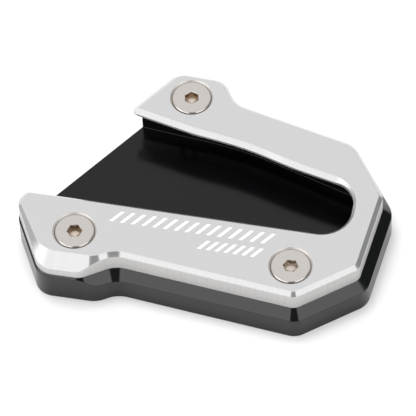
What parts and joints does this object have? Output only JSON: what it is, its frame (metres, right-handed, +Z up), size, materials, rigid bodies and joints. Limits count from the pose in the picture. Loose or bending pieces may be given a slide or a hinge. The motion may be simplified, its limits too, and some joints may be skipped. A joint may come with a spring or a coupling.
{
  "type": "kickstand foot enlarger",
  "caption": "Two-layer foot extension for a motorcycle side stand: a forked clamp plate screwed over a wider base plate, with a tapered pocket between them that is open at one end.",
  "frame": {"origin": "middle of the whole part's bounding box, on the flat underside", "axes": "+X along the straight front edge, away from the mouth; +Y towards the far lobe; +Z up, out of the top plate's face"},
  "size_m": [0.1086, 0.08, 0.018],
  "materials": {
    "black_anodised": "black anodised, smooth satin",
    "silver_anodised": "clear anodised, fine satin",
    "plated_steel": "plated steel, turned"
  },
  "bodies": {
    "root": {"base_plate": "black_anodised", "top_plate": "silver_anodised", "screws": "plated_steel"}
  },
  "joints": []
}
